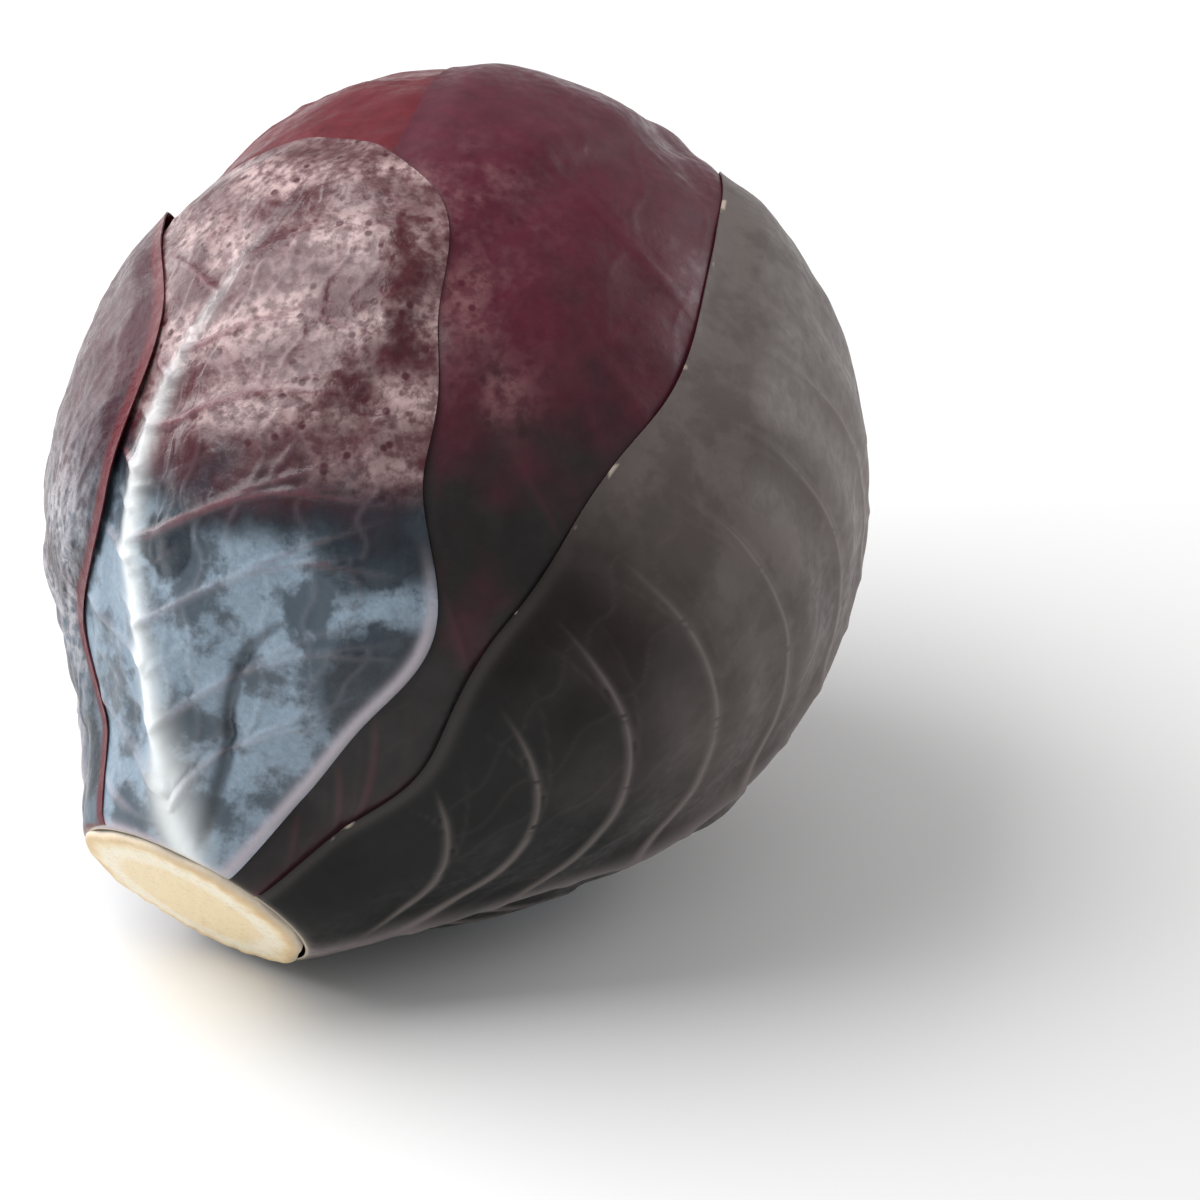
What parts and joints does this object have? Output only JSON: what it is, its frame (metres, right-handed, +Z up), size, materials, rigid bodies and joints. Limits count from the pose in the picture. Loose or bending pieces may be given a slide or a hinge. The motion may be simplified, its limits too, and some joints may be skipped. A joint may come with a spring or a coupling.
{
  "type": "red cabbage head",
  "caption": "Whole red cabbage head lying on its side: round packed heart, overlapping waxy leaves and a flat cut stem.",
  "frame": {"origin": "centre of the pressed spot that the head rests on, on its lowest wrapper leaf", "axes": "+Z up from the surface, crown leaning up towards +X and +Y, cut stem pointing down towards -X and -Y"},
  "size_m": [0.1626, 0.1633, 0.1586],
  "materials": {
    "inner_leaf": "waxy burgundy leaf, satin",
    "outer_leaf": "dark purple wrapper leaf under a grey-blue bloom",
    "heart": "moist purple leaf",
    "cut_stem": "cut cream-coloured stem"
  },
  "bodies": {
    "root": {"stem": "cut_stem", "heart": "heart", "inner_leaf_back": "inner_leaf", "inner_leaf_left": "inner_leaf", "inner_leaf_crown": "inner_leaf", "outer_leaf_back": "outer_leaf", "outer_leaf_front": "outer_leaf", "outer_leaf_right": "outer_leaf", "outer_leaf_left": "outer_leaf"}
  },
  "joints": []
}
